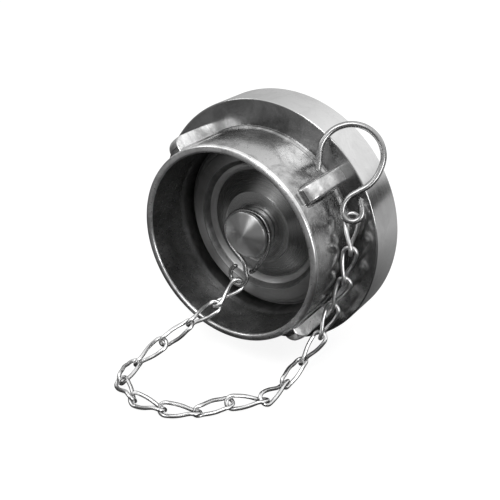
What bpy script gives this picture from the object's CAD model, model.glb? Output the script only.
"""Blank cap of a claw hose coupling: the finished steel pieces, their materials, and a plain studio.

Each piece is drawn in millimetres about the cap's axis, as (radius, height) outlines. Heights grow
towards the mouth of the cup. The finished piece is then tipped so that the mouth faces -Y.
"""
import math

import bmesh
import bpy
from mathutils import Matrix, Vector


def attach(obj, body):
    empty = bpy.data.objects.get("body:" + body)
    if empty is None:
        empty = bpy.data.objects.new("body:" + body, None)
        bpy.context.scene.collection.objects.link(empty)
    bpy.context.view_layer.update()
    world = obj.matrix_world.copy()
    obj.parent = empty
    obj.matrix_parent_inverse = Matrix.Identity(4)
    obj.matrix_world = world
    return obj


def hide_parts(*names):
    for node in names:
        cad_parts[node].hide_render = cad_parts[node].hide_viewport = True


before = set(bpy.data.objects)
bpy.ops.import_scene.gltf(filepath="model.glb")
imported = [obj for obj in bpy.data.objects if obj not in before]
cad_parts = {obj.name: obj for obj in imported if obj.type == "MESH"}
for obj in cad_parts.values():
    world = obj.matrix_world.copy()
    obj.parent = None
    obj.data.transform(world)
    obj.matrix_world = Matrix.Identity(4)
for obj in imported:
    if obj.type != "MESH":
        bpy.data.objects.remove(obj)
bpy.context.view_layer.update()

MM = 0.001
TIPPED = Matrix.Rotation(math.pi / 2, 4, "X")
RING_BODY = "ring_and_chain"
LID_BODY = "lid_group"
FLOOR_HEIGHT = -63.0 * MM

# The locking ring, in millimetres. Faces on the rim's claw side have negative heights.
CUP_RADIUS = 49.3
RIM_RADIUS = 63.0
FACE_HEIGHT = 5.0
RIM_FRONT = -16.4
MOUTH_HEIGHT = 36.5
RING_STEPS = 240
LUG_ANGLE = math.radians(40.6)
LUG_HEIGHT = 7.3
LUG_NOSE_START = 24.2
LUG_NOSE_RADIUS = 6.8
LUG_NOSE_EDGE = 1.2
CLAW_SPREAD = math.radians(40)
LEDGE_SPREAD = math.radians(130)

# The lid and the snap ring under its band
LID_STEPS = 192
SNAP_GAP = math.radians(14)

# The wire pieces, with each link's middle and its turns about X, Y and Z in degrees. A roll turns
# a link about its own length first.
LOOP_WIRE = 2.2
HOOK_WIRE = 2.8
LINK_WIRE = 1.9
LINK_HALF_WIDTH = 3.05
LINK_HALF_LENGTH = 9.5
LINK_PLACES = (
    ((-7.2, -25.1, -32.8), (-118, 31, -113), 5),
    ((-12.9, -38.0, -40.3), (-91, 23, -118), 15),
    ((-20.8, -49.7, -48.2), (-82, 33, -130), 30),
    ((-27.7, -62.4, -55.3), (-60, 22, -108), -15),
    ((-28.6, -77.5, -57.5), (-37, -3, -75), 0),
    ((-20.5, -88.2, -58.8), (18, -3, -28), -30),
    ((-5.3, -90.7, -58.8), (42, 0, 5), -30),
    ((10.1, -86.2, -58.7), (41, 0, 25), -20),
    ((20.8, -75.3, -58.7), (67, 0, 60), -15),
    ((31.3, -63.6, -58.6), (43, -2, 38), -25),
    ((37.5, -50.2, -58.6), (28, -1, 86), -30),
    ((37.9, -34.4, -56.7), (42, -16, 89), -15),
    ((40.9, -22.7, -48.6), (86, -55, 52), 0),
    ((45.8, -17.2, -34.5), (102, -72, 42), 0),
    ((50.0, -14.9, -19.1), (138, -71, 10), 0),
    ((52.8, -14.1, -3.4), (138, -83, 13), 0),
    ((53.1, -12.8, 12.2), (41, -75, 120), 0),
)


# Shader node groups

def add_node(tree, kind, values=None, **settings):
    """A node with some of its settings and plain input values set."""
    node = tree.nodes.new(kind)
    for name, value in settings.items():
        setattr(node, name, value)
    for socket, value in (values or {}).items():
        node.inputs[socket].default_value = value
    return node


def calc(tree, operation, first, second, clamp=False):
    """A sum of two values, each a number or the output of a node."""
    node = add_node(tree, "ShaderNodeMath", operation=operation, use_clamp=clamp)
    for socket, value in zip(node.inputs, (first, second)):
        if isinstance(value, (int, float)):
            socket.default_value = value
        else:
            tree.links.new(value, socket)
    return node.outputs[0]


def value_between(tree, mask, low, high, start=0.0, stop=1.0):
    """A number that goes from low to high as a mask goes from start to stop."""
    spread = add_node(
        tree, "ShaderNodeMapRange",
        {"From Min": start, "From Max": stop, "To Min": low, "To Max": high},
    )
    tree.links.new(mask, spread.inputs["Value"])
    return spread.outputs["Result"]


def new_group(name, inputs, outputs):
    """A shader node group with named inputs and outputs."""
    group = bpy.data.node_groups.new(name, "ShaderNodeTree")
    for label, default in inputs.items():
        socket = group.interface.new_socket(name=label, in_out="INPUT", socket_type="NodeSocketFloat")
        socket.default_value = default
    for label, kind in outputs.items():
        group.interface.new_socket(name=label, in_out="OUTPUT", socket_type=kind)
    start = group.nodes.new("NodeGroupInput")
    end = group.nodes.new("NodeGroupOutput")
    return group, start, end


def lathe_marks():
    """Fine rings left by the lathe, as a mask and as a normal. They follow radius and height."""
    group, start, end = new_group(
        "lathe_marks", {"Marks per Metre": 2200.0, "Depth": 0.000004},
        {"Mask": "NodeSocketFloat", "Normal": "NodeSocketVector"},
    )
    link = group.links.new
    place = add_node(group, "ShaderNodeTexCoord")
    parts = add_node(group, "ShaderNodeSeparateXYZ")
    link(place.outputs["Object"], parts.inputs[0])
    flat = add_node(group, "ShaderNodeCombineXYZ")
    link(parts.outputs["X"], flat.inputs["X"])
    link(parts.outputs["Z"], flat.inputs["Z"])
    reach = add_node(group, "ShaderNodeVectorMath", operation="LENGTH")
    link(flat.outputs[0], reach.inputs[0])
    spot = add_node(group, "ShaderNodeCombineXYZ")
    link(reach.outputs["Value"], spot.inputs["X"])
    link(parts.outputs["Y"], spot.inputs["Y"])
    marks = add_node(group, "ShaderNodeTexNoise", {"Detail": 3.0, "Roughness": 0.65})
    link(spot.outputs[0], marks.inputs["Vector"])
    link(start.outputs["Marks per Metre"], marks.inputs["Scale"])
    bump = add_node(group, "ShaderNodeBump", {"Strength": 1.0})
    link(marks.outputs["Fac"], bump.inputs["Height"])
    link(start.outputs["Depth"], bump.inputs["Distance"])
    link(marks.outputs["Fac"], end.inputs["Mask"])
    link(bump.outputs["Normal"], end.inputs["Normal"])
    return group


def forged_skin():
    """The uneven skin of a forging that was polished afterwards: shallow waves, pits and stains."""
    group, start, end = new_group(
        "forged_skin",
        {"Wave Depth": 0.00003, "Grain Depth": 0.000006, "Stain Amount": 0.5},
        {"Stain": "NodeSocketFloat", "Grain": "NodeSocketFloat", "Normal": "NodeSocketVector"},
    )
    link = group.links.new
    place = add_node(group, "ShaderNodeTexCoord")
    waves = add_node(group, "ShaderNodeTexNoise", {"Scale": 150.0, "Detail": 2.0, "Roughness": 0.5})
    grain = add_node(group, "ShaderNodeTexNoise", {"Scale": 900.0, "Detail": 4.0, "Roughness": 0.6})
    stain = add_node(
        group, "ShaderNodeTexNoise",
        {"Scale": 70.0, "Detail": 6.0, "Roughness": 0.68, "Distortion": 0.8},
    )
    for texture in (waves, grain, stain):
        link(place.outputs["Object"], texture.inputs["Vector"])
    wave_bump = add_node(group, "ShaderNodeBump", {"Strength": 1.0})
    link(waves.outputs["Fac"], wave_bump.inputs["Height"])
    link(start.outputs["Wave Depth"], wave_bump.inputs["Distance"])
    grain_bump = add_node(group, "ShaderNodeBump", {"Strength": 1.0})
    link(grain.outputs["Fac"], grain_bump.inputs["Height"])
    link(start.outputs["Grain Depth"], grain_bump.inputs["Distance"])
    link(wave_bump.outputs["Normal"], grain_bump.inputs["Normal"])
    clouds = value_between(group, stain.outputs["Fac"], 0.0, 1.0, 0.44, 0.62)
    pits = add_node(group, "ShaderNodeTexNoise", {"Scale": 520.0, "Detail": 1.0})
    link(place.outputs["Object"], pits.inputs["Vector"])
    specks = value_between(group, pits.outputs["Fac"], 0.0, 1.0, 0.70, 0.76)
    marked = calc(group, "MAXIMUM", clouds, specks)
    share = calc(group, "MULTIPLY", marked, start.outputs["Stain Amount"])
    link(share, end.inputs["Stain"])
    link(grain.outputs["Fac"], end.inputs["Grain"])
    link(grain_bump.outputs["Normal"], end.inputs["Normal"])
    return group


def fine_scratches():
    """Thin handling scratches in two directions, as a mask."""
    group, start, end = new_group(
        "fine_scratches", {"Amount": 0.5}, {"Mask": "NodeSocketFloat"},
    )
    link = group.links.new
    place = add_node(group, "ShaderNodeTexCoord")
    masks = []
    for turn, seed in ((0.6, 0.0), (2.1, 3.7)):
        lay = add_node(group, "ShaderNodeMapping")
        lay.inputs["Rotation"].default_value = (turn, 0.4 * turn, seed)
        lay.inputs["Scale"].default_value = (60.0, 1800.0, 60.0)
        link(place.outputs["Object"], lay.inputs["Vector"])
        streak = add_node(group, "ShaderNodeTexNoise", {"Scale": 1.0, "Detail": 2.0})
        link(lay.outputs[0], streak.inputs["Vector"])
        masks.append(value_between(group, streak.outputs["Fac"], 0.0, 1.0, 0.66, 0.74))
    share = calc(group, "MULTIPLY", calc(group, "MAXIMUM", *masks), start.outputs["Amount"])
    link(share, end.inputs["Mask"])
    return group


GROUPS = {"lathe": lathe_marks(), "skin": forged_skin(), "scratch": fine_scratches()}


def place_group(tree, kind, values):
    """One of the groups, placed in a material with that material's own values."""
    return add_node(tree, "ShaderNodeGroup", values, node_tree=GROUPS[kind])


def grey(tone):
    """A neutral colour, as the whole photograph is grey."""
    return (tone, tone, tone)


def colour_between(tree, mask, light, dark):
    """A colour that goes from light to dark with a mask."""
    mix = add_node(tree, "ShaderNodeMix", data_type="RGBA")
    mix.inputs["A"].default_value = (*light, 1.0)
    mix.inputs["B"].default_value = (*dark, 1.0)
    tree.links.new(mask, mix.inputs["Factor"])
    return mix.outputs["Result"]


def plain_shader(name):
    """A new material, with its node tree and its shader."""
    material = bpy.data.materials.new(name)
    material.use_nodes = True
    tree = material.node_tree
    return material, tree, tree.nodes["Principled BSDF"]


def forged_material(name, light, dark, smooth, rough, waves, grain, stain):
    """Forged steel, polished over its skin."""
    material, tree, shader = plain_shader(name)
    shader.inputs["Metallic"].default_value = 1.0
    skin = place_group(
        tree, "skin", {"Wave Depth": waves, "Grain Depth": grain, "Stain Amount": stain},
    )
    scratch = place_group(tree, "scratch", {"Amount": 0.6})
    colour = colour_between(tree, skin.outputs["Stain"], light, dark)
    tree.links.new(colour, shader.inputs["Base Color"])
    rough_skin = value_between(tree, skin.outputs["Grain"], smooth, rough, 0.3, 0.7)
    scuffs = calc(tree, "MULTIPLY", scratch.outputs["Mask"], 0.18)
    tree.links.new(calc(tree, "ADD", scuffs, rough_skin), shader.inputs["Roughness"])
    tree.links.new(skin.outputs["Normal"], shader.inputs["Normal"])
    return material


def turned_material(name, light, dark, smooth, rough, marks, depth, stretch):
    """Steel off the lathe: fine rings, and highlights stretched across them."""
    material, tree, shader = plain_shader(name)
    shader.inputs["Metallic"].default_value = 1.0
    shader.inputs["Anisotropic"].default_value = stretch
    shader.inputs["Anisotropic Rotation"].default_value = 0.25
    lathe = place_group(tree, "lathe", {"Marks per Metre": marks, "Depth": depth})
    skin = place_group(
        tree, "skin", {"Wave Depth": 0.0, "Grain Depth": 0.0, "Stain Amount": 0.7},
    )
    shade = calc(tree, "MULTIPLY", lathe.outputs["Mask"], skin.outputs["Stain"])
    tree.links.new(colour_between(tree, shade, light, dark), shader.inputs["Base Color"])
    worn = value_between(tree, lathe.outputs["Mask"], smooth, rough, 0.35, 0.65)
    tree.links.new(worn, shader.inputs["Roughness"])
    tree.links.new(lathe.outputs["Normal"], shader.inputs["Normal"])
    round_axis = add_node(tree, "ShaderNodeTangent", direction_type="RADIAL", axis="Y")
    tree.links.new(round_axis.outputs[0], shader.inputs["Tangent"])
    return material


def wire_material(name, light, dark, edge, smooth, rough):
    """Drawn and plated wire, whose reflections dim where its surface turns away."""
    material = forged_material(name, light, dark, smooth, rough, 0.000001, 0.000001, 0.6)
    shader = material.node_tree.nodes["Principled BSDF"]
    shader.inputs["Specular Tint"].default_value = (*edge, 1.0)
    return material


def rubber_material(name):
    """Moulded black rubber with a matt, slightly dusty skin."""
    material, tree, shader = plain_shader(name)
    skin = place_group(
        tree, "skin", {"Wave Depth": 0.00001, "Grain Depth": 0.00001, "Stain Amount": 0.6},
    )
    colour = colour_between(tree, skin.outputs["Stain"], (0.018, 0.018, 0.019), grey(0.05))
    tree.links.new(colour, shader.inputs["Base Color"])
    tree.links.new(
        value_between(tree, skin.outputs["Grain"], 0.55, 0.75), shader.inputs["Roughness"],
    )
    tree.links.new(skin.outputs["Normal"], shader.inputs["Normal"])
    return material


# Each finish: light and dark tone, roughness from and to, then for forgings the depth of waves and
# grain and the share of stains, and for turned steel marks per metre, their depth and the stretch.
FORGED = forged_material(
    "polished_forging", grey(0.58), grey(0.24), 0.16, 0.30, 0.00007, 0.00001, 0.9,
)
CUP_INSIDE = forged_material(
    "cup_inside", grey(0.25), grey(0.14), 0.24, 0.36, 0.00003, 0.000006, 0.8,
)
RECESS = forged_material(
    "dark_recess", grey(0.24), grey(0.14), 0.34, 0.46, 0.00002, 0.000006, 0.8,
)
FACED = forged_material(
    "faced_flange", grey(0.40), grey(0.24), 0.15, 0.24, 0.00001, 0.000002, 0.9,
)
WORN = forged_material(
    "worn_lugs", grey(1.0), grey(0.42), 0.26, 0.42, 0.00014, 0.00001, 0.85,
)
LIP = forged_material(
    "worn_lip", grey(1.0), grey(0.56), 0.26, 0.38, 0.00003, 0.00001, 0.8,
)
RIM_BAND = turned_material(
    "turned_rim", grey(0.70), grey(0.50), 0.14, 0.24, 2600.0, 0.000003, 0.7,
)
DISH = turned_material(
    "turned_dish", grey(0.35), grey(0.24), 0.24, 0.32, 4200.0, 0.0000015, 0.8,
)
LID_BAND = turned_material(
    "turned_band", grey(0.50), grey(0.34), 0.34, 0.44, 4200.0, 0.0000015, 0.4,
)
LID_MIDDLE = turned_material(
    "turned_middle", grey(0.58), grey(0.44), 0.24, 0.32, 4200.0, 0.0000015, 0.7,
)
TURNED_KNOB = turned_material(
    "turned_knob", grey(0.74), grey(0.58), 0.30, 0.38, 3600.0, 0.000003, 0.8,
)
SPRING = turned_material(
    "spring_steel", grey(0.40), grey(0.30), 0.30, 0.42, 3000.0, 0.000003, 0.4,
)
# Each wire: light and dark tone, the tint of its edges, and roughness from and to.
CHAIN_METAL = wire_material("bright_wire", grey(0.92), grey(0.72), grey(0.4), 0.26, 0.34)
HOOK_METAL = wire_material("drawn_wire", grey(0.48), grey(0.34), grey(0.3), 0.22, 0.30)
LOOP_METAL = wire_material("loop_wire", grey(0.46), grey(0.33), grey(0.2), 0.22, 0.30)
RUBBER = rubber_material("seal_rubber")


# Modelling helpers

def finish(name, shape, *materials, crease=38):
    """Keeps a bmesh as a piece whose place is in its mesh."""
    mesh = bpy.data.meshes.new(name)
    shape.to_mesh(mesh)
    shape.free()
    for material in materials:
        mesh.materials.append(material)
    mesh.shade_smooth()
    mesh.set_sharp_from_angle(angle=math.radians(crease))
    piece = bpy.data.objects.new(name, mesh)
    bpy.context.scene.collection.objects.link(piece)
    return piece


def settle(piece, body, slot, *nodes):
    """Hangs a piece on its body and lets it stand for its nodes of the solid model."""
    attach(piece, body)
    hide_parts(*nodes)


def eased(outline, cuts=4):
    """Rounds the corners of an outline of (radius, height, easing) points."""
    smooth = []
    for index, (radius, height, ease) in enumerate(outline):
        here = Vector((radius, height))
        before = Vector(outline[index - 1][:2]) - here
        after = Vector(outline[(index + 1) % len(outline)][:2]) - here
        reach = min(ease, before.length * 0.48, after.length * 0.48)
        if reach < 0.02:
            smooth.append(here)
            continue
        first = here + before.normalized() * reach
        last = here + after.normalized() * reach
        for cut in range(cuts + 1):
            share = cut / cuts
            smooth.append(
                first * (1 - share) ** 2 + here * 2 * share * (1 - share) + last * share ** 2
            )
    return smooth


def spun(outline, steps, start=0.0, spread=math.tau, is_open=False):
    """Spins an outline about the cap's axis, a full turn or a part of one with closed ends."""
    shape = bmesh.new()
    corners = [shape.verts.new((x * MM, 0, z * MM)) for x, z in outline]
    pairs = list(zip(corners, corners[1:]))
    if not is_open:
        pairs.append((corners[-1], corners[0]))
    edges = [shape.edges.new(pair) for pair in pairs]
    whole = spread >= math.tau - 1e-6
    bmesh.ops.rotate(
        shape, verts=corners, cent=(0, 0, 0), matrix=Matrix.Rotation(start, 3, "Z"),
    )
    bmesh.ops.spin(
        shape, geom=corners + edges, cent=(0, 0, 0), axis=(0, 0, 1), angle=spread, steps=steps,
        use_merge=whole,
    )
    if not whole:
        bmesh.ops.edgeloop_fill(shape, edges=[edge for edge in shape.edges if edge.is_boundary])
    bmesh.ops.remove_doubles(shape, verts=shape.verts, dist=0.0005 * MM)
    bmesh.ops.recalc_face_normals(shape, faces=shape.faces)
    return shape


def sharp_edges(shape):
    """The edges of a shape where its surface turns by more than 35 degrees."""
    return [
        edge for edge in shape.edges
        if edge.is_manifold and edge.calc_face_angle(0.0) > math.radians(35)
    ]


def soften(shape, width):
    """Bevels every sharp edge of a shape."""
    bmesh.ops.bevel(
        shape, geom=sharp_edges(shape), offset=width * MM, segments=3, profile=0.5, affect="EDGES",
        material=-1, clamp_overlap=True,
    )
    bmesh.ops.recalc_face_normals(shape, faces=shape.faces)
    return shape


def absorb(shape, other):
    """Adds the faces of another bmesh to a shape."""
    mesh = bpy.data.meshes.new("carried")
    other.to_mesh(mesh)
    other.free()
    shape.from_mesh(mesh)
    bpy.data.meshes.remove(mesh)


def arc(centre, radius, start, turn, steps):
    """Points along an arc in a plane, from a start angle and over a turn."""
    return [
        (
            centre[0] + radius * math.cos(start + turn * step / steps),
            centre[1] + radius * math.sin(start + turn * step / steps),
        )
        for step in range(steps + 1)
    ]


def smooth_through(points, cuts):
    """Points along a smooth curve that passes through each point of an open plane outline."""
    ends = [points[0]] + list(points) + [points[-1]]
    smooth = []
    for before, start, end, after in zip(ends, ends[1:], ends[2:], ends[3:]):
        for cut in range(cuts):
            place = cut / cuts
            smooth.append(tuple(
                0.5 * (
                    2 * b + (c - a) * place + (2 * a - 5 * b + 4 * c - d) * place ** 2
                    + (3 * b - a - 3 * c + d) * place ** 3
                )
                for a, b, c, d in zip(before, start, end, after)
            ))
    smooth.append(tuple(points[-1]))
    return smooth


def drawn_wire(name, points, diameter, place, metal, closed=False):
    """A round wire along points in millimetres, with its cut ends slightly rounded off."""
    curve = bpy.data.curves.new(name, "CURVE")
    curve.dimensions = "3D"
    curve.bevel_depth = diameter / 2 * MM
    curve.bevel_resolution = 5
    curve.use_fill_caps = not closed
    widths = [1.0] * len(points)
    if not closed:
        for index, share in ((0, 0.84), (1, 0.97)):
            widths[index] = widths[-1 - index] = share
    spline = curve.splines.new("POLY")
    spline.points.add(len(points) - 1)
    for point, spot, width in zip(spline.points, points, widths):
        point.co = (*[value * MM for value in spot], 1.0)
        point.radius = width
    spline.use_cyclic_u = closed
    spline.use_smooth = True
    drawing = bpy.data.objects.new(name, curve)
    bpy.context.scene.collection.objects.link(drawing)
    depsgraph = bpy.context.evaluated_depsgraph_get()
    mesh = bpy.data.meshes.new_from_object(drawing.evaluated_get(depsgraph))
    bpy.data.objects.remove(drawing)
    bpy.data.curves.remove(curve)
    shape = bmesh.new()
    shape.from_mesh(mesh)
    bpy.data.meshes.remove(mesh)
    bmesh.ops.transform(shape, matrix=place, verts=shape.verts)
    bmesh.ops.remove_doubles(shape, verts=shape.verts, dist=0.0005 * MM)
    bmesh.ops.recalc_face_normals(shape, faces=shape.faces)
    return finish(name, shape, metal, crease=50)


def with_round_ends(points, reach):
    """Repeats the end points of a path a little further in, so that its ends can narrow there."""
    path = [Vector(point) for point in points]
    for end, inner in ((0, 1), (-1, -2)):
        step = (path[inner] - path[end]).normalized()
        near, far = path[end] + step * reach * 0.4, path[end] + step * reach
        if end == 0:
            path[1:1] = [near, far]
        else:
            path[-1:-1] = [far, near]
    return path


def reach_and_height(face):
    """How far the middle of a face is from the cap's axis, and its height."""
    spot = face.calc_center_median() / MM
    return math.hypot(spot.x, spot.y), spot.z


def paint(shape, metals, choose):
    """Gives each face of a shape the one of its finishes that is chosen for it."""
    for face in shape.faces:
        face.material_index = metals.index(choose(face))


def tip(shape):
    """Turns a shape that was drawn upright so that the cup's mouth faces -Y."""
    bmesh.ops.transform(shape, matrix=TIPPED, verts=shape.verts)


# Locking ring

RING_OUTLINE = (
    (45.7, MOUTH_HEIGHT, 1.3), (CUP_RADIUS, MOUTH_HEIGHT, 2.2), (CUP_RADIUS, 7.6, 1.2),
    (50.2, 6.4, 0.5), (50.2, FACE_HEIGHT, 0.12), (RIM_RADIUS, FACE_HEIGHT, 0.7),
    (RIM_RADIUS, RIM_FRONT, 0.8), (56.0, RIM_FRONT, 0.0), (56.0, -1.4, 1.6), (41.1, -1.4, 0.3),
    (41.1, 3.0, 0.4), (45.0, 3.0, 0.6), (45.0, 10.4, 1.5), (45.7, 13.4, 2.2),
)
LEDGE_OUTLINE = ((50.5, RIM_FRONT), (56.0, RIM_FRONT), (56.0, -11.9), (50.5, -11.9))
CLAW_OUTLINE = (
    (44.5, 0.2), (50.0, 0.2), (50.0, -22.3), (55.0, -23.6), (55.0, -28.4), (52.6, -30.9),
    (45.7, -30.9), (44.5, -29.6),
)
RING_METALS = (FORGED, CUP_INSIDE, FACED, RIM_BAND, WORN, LIP, RECESS)


def lug_section():
    """Half of a lug's cross-section, from its foot on the cup to the middle of its top."""
    foot, width, top_width, shoulder = 1.7, 4.1, 3.6, 0.9
    shoulder_middle = (-top_width + shoulder, LUG_HEIGHT - shoulder)
    rise = arc((-width - foot, foot), foot, -math.pi / 2, math.pi / 2, 7)
    turn = arc(shoulder_middle, shoulder, math.pi, -math.pi / 2, 6)
    side = [(-width + 0.25 * (width - top_width), foot + 1.8), (-width + 0.3, foot + 3.2)]
    top = [(-1.5, LUG_HEIGHT + 0.05), (0.0, LUG_HEIGHT + 0.08)]
    return rise + side + turn + top


def lug_rows():
    """Heights along a lug with its share of the full rise there and of its full width."""
    edge_start = 30.96
    narrowing = 0.16
    rows = [(height, 1.0, 1.0) for height in (FACE_HEIGHT - 0.05, 12.0, 18.0, 22.0)]
    for step in range(13):
        angle = math.radians(84) * step / 12
        height = LUG_NOSE_START + LUG_NOSE_RADIUS * math.sin(angle)
        rise = LUG_HEIGHT - LUG_NOSE_RADIUS + LUG_NOSE_RADIUS * math.cos(angle)
        rows.append((height, rise / LUG_HEIGHT, 1 - narrowing * (step / 12) ** 3))
    for step in range(1, 7):
        angle = math.pi / 2 * step / 6
        height = edge_start + LUG_NOSE_EDGE * (1 - math.cos(angle))
        rise = LUG_NOSE_EDGE * (1 - math.sin(angle))
        rows.append((height, rise / LUG_HEIGHT, 1 - narrowing))
    return rows


def lug_shape(angle):
    """A spanner lug, worked out of a grid: filleted into the cup, with a rounded nose."""
    half = lug_section()
    section = half + [(-across, rise) for across, rise in half[-2::-1]]
    rows = lug_rows()
    shape = bmesh.new()
    bmesh.ops.create_grid(
        shape, x_segments=len(rows) - 1, y_segments=len(section) - 1, size=1.0,
    )
    sunk = 0.06
    for corner in shape.verts:
        height, share, width = rows[round((corner.co.x + 1) / 2 * (len(rows) - 1))]
        across, rise = section[round((corner.co.y + 1) / 2 * (len(section) - 1))]
        radius = CUP_RADIUS - sunk + rise * share
        turn = angle + across * width / radius
        corner.co = Vector((math.cos(turn) * radius, math.sin(turn) * radius, height)) * MM
    rim = [edge for edge in shape.edges if edge.is_boundary]
    skirt = bmesh.ops.extrude_edge_only(shape, edges=rim)["geom"]
    root_radius = CUP_RADIUS - 1.6
    for corner in (item for item in skirt if isinstance(item, bmesh.types.BMVert)):
        inner = Vector((corner.co.x, corner.co.y, 0)).normalized() * root_radius * MM
        corner.co = Vector((inner.x, inner.y, corner.co.z))
    bmesh.ops.holes_fill(
        shape, edges=[edge for edge in shape.edges if edge.is_boundary], sides=0,
    )
    bmesh.ops.recalc_face_normals(shape, faces=shape.faces)
    return shape


def ring_metal(face):
    """The finish of a face of the ring, from the turned rim to the forged skin."""
    reach, height = reach_and_height(face)
    in_bore = reach < 46.3
    is_flange = abs(face.normal.z) > 0.95 and reach > 50.4
    if reach > RIM_RADIUS - 0.8:
        return RIM_BAND
    if reach < 50 and height > MOUTH_HEIGHT - 2.4:
        return LIP
    if in_bore and 2.5 < height < 12.9:
        return RECESS
    if is_flange and (height > FACE_HEIGHT - 0.5 or height < RIM_FRONT + 0.3):
        return FACED
    if in_bore and height > 12.0:
        return CUP_INSIDE
    if reach > 50.6 and height > FACE_HEIGHT:
        return WORN
    return FORGED


def make_ledge(middle):
    """A ledge behind the rim that a claw of the other half slides on, softened on its inside."""
    ledge = spun(LEDGE_OUTLINE, 60, middle - LEDGE_SPREAD / 2, LEDGE_SPREAD)
    inner = [
        edge for edge in sharp_edges(ledge)
        if all(math.hypot(corner.co.x, corner.co.y) < 51 * MM for corner in edge.verts)
    ]
    bmesh.ops.bevel(
        ledge, geom=inner, offset=0.6 * MM, segments=3, profile=0.5, affect="EDGES", material=-1,
    )
    return ledge


def make_ring():
    """The locking ring with its lugs, claws and ledges."""
    ring = spun(eased(RING_OUTLINE, 6), RING_STEPS)
    for index in range(4):
        absorb(ring, lug_shape(LUG_ANGLE + index * math.pi / 2))
    for side in (-math.pi / 2, math.pi / 2):
        middle = LUG_ANGLE + side
        claw = spun(CLAW_OUTLINE, 20, middle - CLAW_SPREAD / 2, CLAW_SPREAD)
        absorb(ring, soften(claw, 0.7))
        absorb(ring, make_ledge(middle))
    paint(ring, RING_METALS, ring_metal)
    tip(ring)
    piece = finish("coupling_ring", ring, *RING_METALS)
    settle(piece, RING_BODY, "forged_steel", "locking_ring")


# Lid and what turns with it

LID_OUTLINE = (
    (6.3, 10.2, 0.2), (18.4, 10.2, 0.5), (29.0, 3.8, 1.8), (31.9, 5.8, 0.8), (33.9, 9.1, 0.5),
    (40.5, 7.9, 0.5), (40.5, 5.6, 0.2), (38.9, 5.6, 0.2), (38.9, 3.0, 0.2), (40.5, 3.0, 0.2),
    (40.5, -1.7, 0.2), (43.5, -1.7, 0.3), (43.5, -10.7, 0.5), (41.15, -10.7, 0.1),
    (41.15, -14.9, 0.3), (39.35, -14.9, 0.3), (39.35, -10.7, 0.1), (37.0, -10.7, 0.4),
    (37.0, -1.6, 0.8), (35.4, 0.0, 1.0), (9.95, 0.0, 0.2), (6.3, 3.0, 0.1),
)
SEAL_OUTLINE = (
    (37.3, -11.0, 0.2), (37.3, -18.4, 0.5), (38.3, -19.4, 0.6), (39.9, -19.4, 0.6),
    (40.9, -18.4, 0.5), (43.2, -18.4, 0.6), (43.2, -11.0, 0.2), (41.45, -11.0, 0.1),
    (41.45, -15.2, 0.1), (39.05, -15.2, 0.1), (39.05, -11.0, 0.1),
)
SNAP_OUTLINE = ((39.2, 3.3), (39.2, 5.3), (43.0, 5.3), (43.0, 3.3))
STUD_OUTLINE = (
    (0.0, 0.0, 0.0), (9.5, 0.0, 0.2), (6.0, 2.7, 0.2), (6.0, 10.5, 0.1), (10.6, 10.5, 0.3),
    (10.6, 12.5, 0.5), (7.0, 12.5, 0.4), (7.0, 17.7, 0.4), (10.9, 17.7, 0.4), (11.9, 18.7, 0.8),
    (11.9, 20.3, 1.4), (9.4, 21.1, 1.6), (6.4, 21.95, 2.0), (3.2, 22.5, 1.6), (0.0, 22.7, 0.0),
)
LID_METALS = (DISH, LID_BAND, LID_MIDDLE, RECESS)


def lid_metal(face):
    """The finish of a face of the lid: pale band and ridge, flat middle, groove or dark dish."""
    reach, height = reach_and_height(face)
    if reach > 34.1 or 28.9 < reach < 31.9:
        return LID_BAND
    if reach < 18.3:
        return LID_MIDDLE
    if reach >= 31.9 and height > 5.6:
        return RECESS
    return DISH


def make_lid():
    """The lid with its seal and its snap ring."""
    lid = spun(eased(LID_OUTLINE), LID_STEPS)
    paint(lid, LID_METALS, lid_metal)
    tip(lid)
    settle(finish("dished_lid", lid, *LID_METALS), LID_BODY, "forged_steel", "lid")
    seal = spun(eased(SEAL_OUTLINE), LID_STEPS)
    tip(seal)
    settle(finish("lip_seal", seal, RUBBER), LID_BODY, "seal_rubber", "seal")
    start = LUG_ANGLE - math.pi + SNAP_GAP / 2
    snap = soften(spun(SNAP_OUTLINE, 120, start, math.tau - SNAP_GAP), 0.25)
    tip(snap)
    settle(finish("split_snap_ring", snap, SPRING), LID_BODY, "spring_steel", "snap_ring")


def make_stud():
    """The knob with its neck and collar, riveted flush behind."""
    stud = spun(eased(STUD_OUTLINE, 5), 128, is_open=True)
    tip(stud)
    settle(finish("riveted_knob", stud, TURNED_KNOB), LID_BODY, "turned_steel", "knob_stud")


# Wire pieces

def upright(points):
    """Points of a plane outline, stood up in the plane that faces the cup's mouth."""
    return [(across, 0.0, up) for across, up in points]


def turned(degrees, axis):
    """A turn about an axis."""
    return Matrix.Rotation(math.radians(degrees), 4, axis)


def make_knob_loop():
    """The wire loop on the knob's neck, with the eye that holds the first link."""
    tail = [(0.2, 2.7, -22.2), (2.6, 2.4, -20.3)]
    outline = [
        (6.4, -15.6), (9.1, -10.9), (10.7, -5.7), (10.8, -1.1), (9.3, 3.8), (6.5, 7.4), (3.0, 9.2),
        (-1.9, 9.8), (-8.0, 8.5), (-12.6, 4.5), (-14.7, -0.9), (-13.7, -5.8), (-11.2, -9.8),
        (-8.0, -12.5), (-4.8, -14.8), (-1.9, -17.8),
    ]
    eye = arc((-4.9, -24.7), 5.0, math.radians(35), math.radians(-285), 10)
    path = smooth_through(tail + upright(outline + eye), 8)
    place = Matrix.Translation((0, -15.4 * MM, 0)) @ turned(-8.5, "X")
    loop = drawn_wire("loop_on_knob", with_round_ends(path, 0.5), LOOP_WIRE, place, LOOP_METAL)
    settle(loop, RING_BODY, "bright_wire", "knob_loop")


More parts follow.
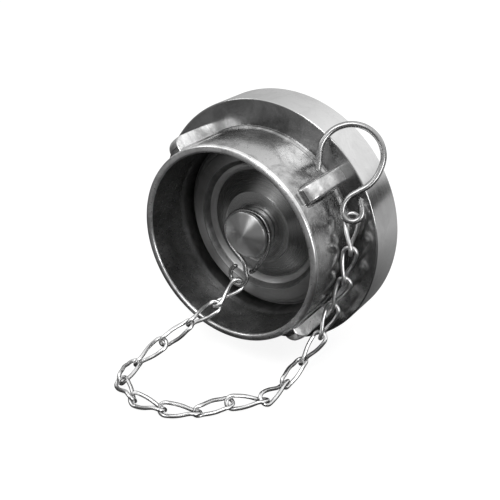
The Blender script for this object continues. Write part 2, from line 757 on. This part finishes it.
def make_hook():
    """The S-hook over the rim's edge, with its big bend and the eye that holds the last link."""
    big = arc((0.0, 0.0), 14.2, math.radians(192), math.radians(-222), 7)
    lead_in = math.atan2(big[0][1] - big[1][1], big[0][0] - big[1][0])
    tail = (big[0][0] + 3.6 * math.cos(lead_in), big[0][1] + 3.6 * math.sin(lead_in))
    bend = [(8.7, -12.1), (4.5, -14.9), (0.5, -17.6), (-1.8, -20.9)]
    eye = arc((2.1, -24.2), 4.4, math.radians(185), math.radians(190), 6)
    path = smooth_through(upright([tail] + big + bend + eye + [(5.2, -18.4)]), 12)
    reach = RIM_RADIUS + 2.0
    angle = math.radians(44.19)
    spot = Vector((reach * math.cos(angle), -FACE_HEIGHT, reach * math.sin(angle))) * MM
    place = Matrix.Translation(spot) @ (turned(26.9, "Z") @ turned(-23.1, "X"))
    hook = drawn_wire("hook_on_rim", with_round_ends(path, 0.6), HOOK_WIRE, place, HOOK_METAL)
    settle(hook, RING_BODY, "bright_wire", "s_hook")


def link_path():
    """Centre line of a link: straight sides, and two ends turned against each other."""
    side = LINK_HALF_LENGTH - LINK_HALF_WIDTH
    right = arc((side, 0), LINK_HALF_WIDTH, -math.pi / 2, math.pi, 16)
    left = arc((-side, 0), LINK_HALF_WIDTH, math.pi / 2, math.pi, 16)
    top = [(side - 2 * side * step / 18, LINK_HALF_WIDTH) for step in range(1, 18)]
    bottom = [(-along, -across) for along, across in top]
    path = []
    for along, across in right + top + left + bottom:
        share = max(-1, min(1, along / side))
        lean = 1.25 * share - 0.25 * share ** 5
        spread = math.sqrt(0.5) + 0.18 * (1 - share ** 2) ** 2
        path.append((along, across * spread, -across * math.sqrt(0.5) * lean))
    return path


def make_chain():
    """The seventeen links, from the knob's loop to the hook."""
    path = link_path()
    for number, (middle, turns, roll) in enumerate(LINK_PLACES, start=1):
        x, y, z = (turned(turn, axis) for turn, axis in zip(turns, "XYZ"))
        place = Matrix.Translation(Vector(middle) * MM) @ z @ y @ x @ turned(roll, "X")
        name = f"twisted_link_{number:02d}"
        link = drawn_wire(name, path, LINK_WIRE, place, CHAIN_METAL, closed=True)
        settle(link, RING_BODY, "bright_wire", f"link_{number:02d}")


# Studio

def make_floor():
    """A pale floor. Seen directly it is white with a faint shadow. Metal sees it dim near the cap."""
    shape = bmesh.new()
    bmesh.ops.create_grid(shape, x_segments=2, y_segments=2, size=3.0)
    bmesh.ops.translate(shape, verts=shape.verts, vec=(0, 0, FLOOR_HEIGHT))
    material, tree, shader = plain_shader("pale_floor")
    link = tree.links.new
    shader.inputs["Roughness"].default_value = 0.9
    shader.inputs["Specular IOR Level"].default_value = 0.0
    shader.inputs["Emission Color"].default_value = (1, 1, 1, 1)
    ray = add_node(tree, "ShaderNodeLightPath")
    place = add_node(tree, "ShaderNodeTexCoord")
    parts = add_node(tree, "ShaderNodeSeparateXYZ")
    link(place.outputs["Object"], parts.inputs[0])
    along = value_between(tree, parts.outputs["Y"], 0.0, 1.0, -0.3, 0.3)
    ramp = add_node(tree, "ShaderNodeValToRGB")
    first, last = ramp.color_ramp.elements
    first.color = (*grey(0.22), 1)
    last.color = (*grey(0.5), 1)
    for spot, tone in ((0.2, 0.15), (0.38, 0.03), (0.5, 0.03), (0.6, 0.15), (0.7, 0.34), (0.85, 0.5)):
        ramp.color_ramp.elements.new(spot).color = (*grey(tone), 1)
    link(along, ramp.inputs[0])
    seen = calc(tree, "MAXIMUM", ray.outputs["Is Camera Ray"], ray.outputs["Is Transmission Ray"])
    mirrored = calc(tree, "MULTIPLY", ray.outputs["Is Glossy Ray"], ramp.outputs["Color"])
    glow = calc(tree, "ADD", calc(tree, "MULTIPLY", seen, 0.86), mirrored)
    link(glow, shader.inputs["Emission Strength"])
    matt = calc(tree, "SUBTRACT", 0.8, calc(tree, "MULTIPLY", seen, 0.48))
    tone = calc(tree, "SUBTRACT", matt, ray.outputs["Is Glossy Ray"], clamp=True)
    colour = add_node(tree, "ShaderNodeCombineColor")
    for name in ("Red", "Green", "Blue"):
        link(tone, colour.inputs[name])
    link(colour.outputs[0], shader.inputs["Base Color"])
    finish("studio_floor", shape, material)


def make_world():
    """A white backdrop behind the cap and a softer ceiling before it, as polished steel sees them."""
    world = bpy.data.worlds.new("studio")
    bpy.context.scene.world = world
    world.use_nodes = True
    tree = world.node_tree
    background = tree.nodes["Background"]
    background.inputs["Color"].default_value = (1, 1, 1, 1)
    ray = add_node(tree, "ShaderNodeLightPath")
    place = add_node(tree, "ShaderNodeTexCoord")
    parts = add_node(tree, "ShaderNodeSeparateXYZ")
    tree.links.new(place.outputs["Generated"], parts.inputs[0])
    x, y, z = parts.outputs
    behind = value_between(tree, y, 0.0, 1.0, 0.0, 0.45)
    backdrop = value_between(tree, x, 0.50, 1.10, -0.75, 0.1)
    ceiling = value_between(tree, z, 0.04, 0.9, 0.1, 0.75)
    back_part = calc(tree, "MULTIPLY", behind, backdrop)
    front_part = calc(tree, "MULTIPLY", calc(tree, "SUBTRACT", 1.0, behind), ceiling)
    room = calc(tree, "ADD", back_part, front_part)
    low = value_between(tree, z, 0.0, 2.0, -0.26, 0.28)
    strip = calc(tree, "PINGPONG", low, 1.0)
    right = value_between(tree, x, 0.0, 1.9, 0.3, 0.6)
    dark = calc(tree, "MULTIPLY", strip, right, clamp=True)
    kept = calc(tree, "SUBTRACT", 1.0, calc(tree, "MULTIPLY", dark, 0.95))
    shown = calc(tree, "MULTIPLY", room, kept)
    glossy = calc(tree, "MULTIPLY", shown, ray.outputs["Is Glossy Ray"])
    direct = calc(tree, "MAXIMUM", ray.outputs["Is Camera Ray"], ray.outputs["Is Transmission Ray"])
    spill = calc(tree, "MULTIPLY", ray.outputs["Is Diffuse Ray"], 0.55)
    total = calc(tree, "MAXIMUM", calc(tree, "MAXIMUM", direct, glossy), spill)
    tree.links.new(total, background.inputs["Strength"])


def make_lamp(name, spot, size, power):
    """A softbox that looks at the cap's middle and isn't seen itself."""
    data = bpy.data.lights.new(name, "AREA")
    data.shape = "RECTANGLE"
    data.size, data.size_y = size
    data.energy = power
    lamp = bpy.data.objects.new(name, data)
    bpy.context.scene.collection.objects.link(lamp)
    lamp.location = spot
    lamp.rotation_euler = (-Vector(spot)).to_track_quat("-Z", "Y").to_euler()
    lamp.visible_camera = False


def make_lamps():
    """Four softboxes: a large one above, and small ones at the left, low down and at the right."""
    make_lamp("key_softbox", (0.16, -0.68, 0.94), (0.60, 0.45), 3.4)
    make_lamp("left_softbox", (-0.75, -0.40, 0.60), (0.30, 0.30), 0.8)
    make_lamp("low_softbox", (-0.22, -0.95, 0.15), (0.16, 0.12), 0.4)
    make_lamp("right_softbox", (0.62, -0.28, 0.10), (0.28, 0.30), 1.2)


def make_camera():
    """The camera stands where the photograph was taken from."""
    data = bpy.data.cameras.new("photo_camera")
    data.lens = 57.6
    data.sensor_width = 36.0
    data.clip_start = 0.01
    camera = bpy.data.objects.new("photo_camera", data)
    bpy.context.scene.collection.objects.link(camera)
    right = Vector((0.8216, 0.5700, 0.0))
    up = Vector((-0.2600, 0.3748, 0.8899))
    back = Vector((0.5073, -0.7312, 0.4562))
    turn = Matrix((right, up, back)).transposed().to_4x4()
    camera.matrix_world = Matrix.Translation((0.1998, -0.3041, 0.1697)) @ turn
    bpy.context.scene.camera = camera


bpy.context.scene.view_settings.view_transform = "Standard"
make_camera()
make_ring()
make_lid()
make_stud()
make_knob_loop()
make_hook()
make_chain()
make_floor()
make_world()
make_lamps()

bpy.context.view_layer.update()
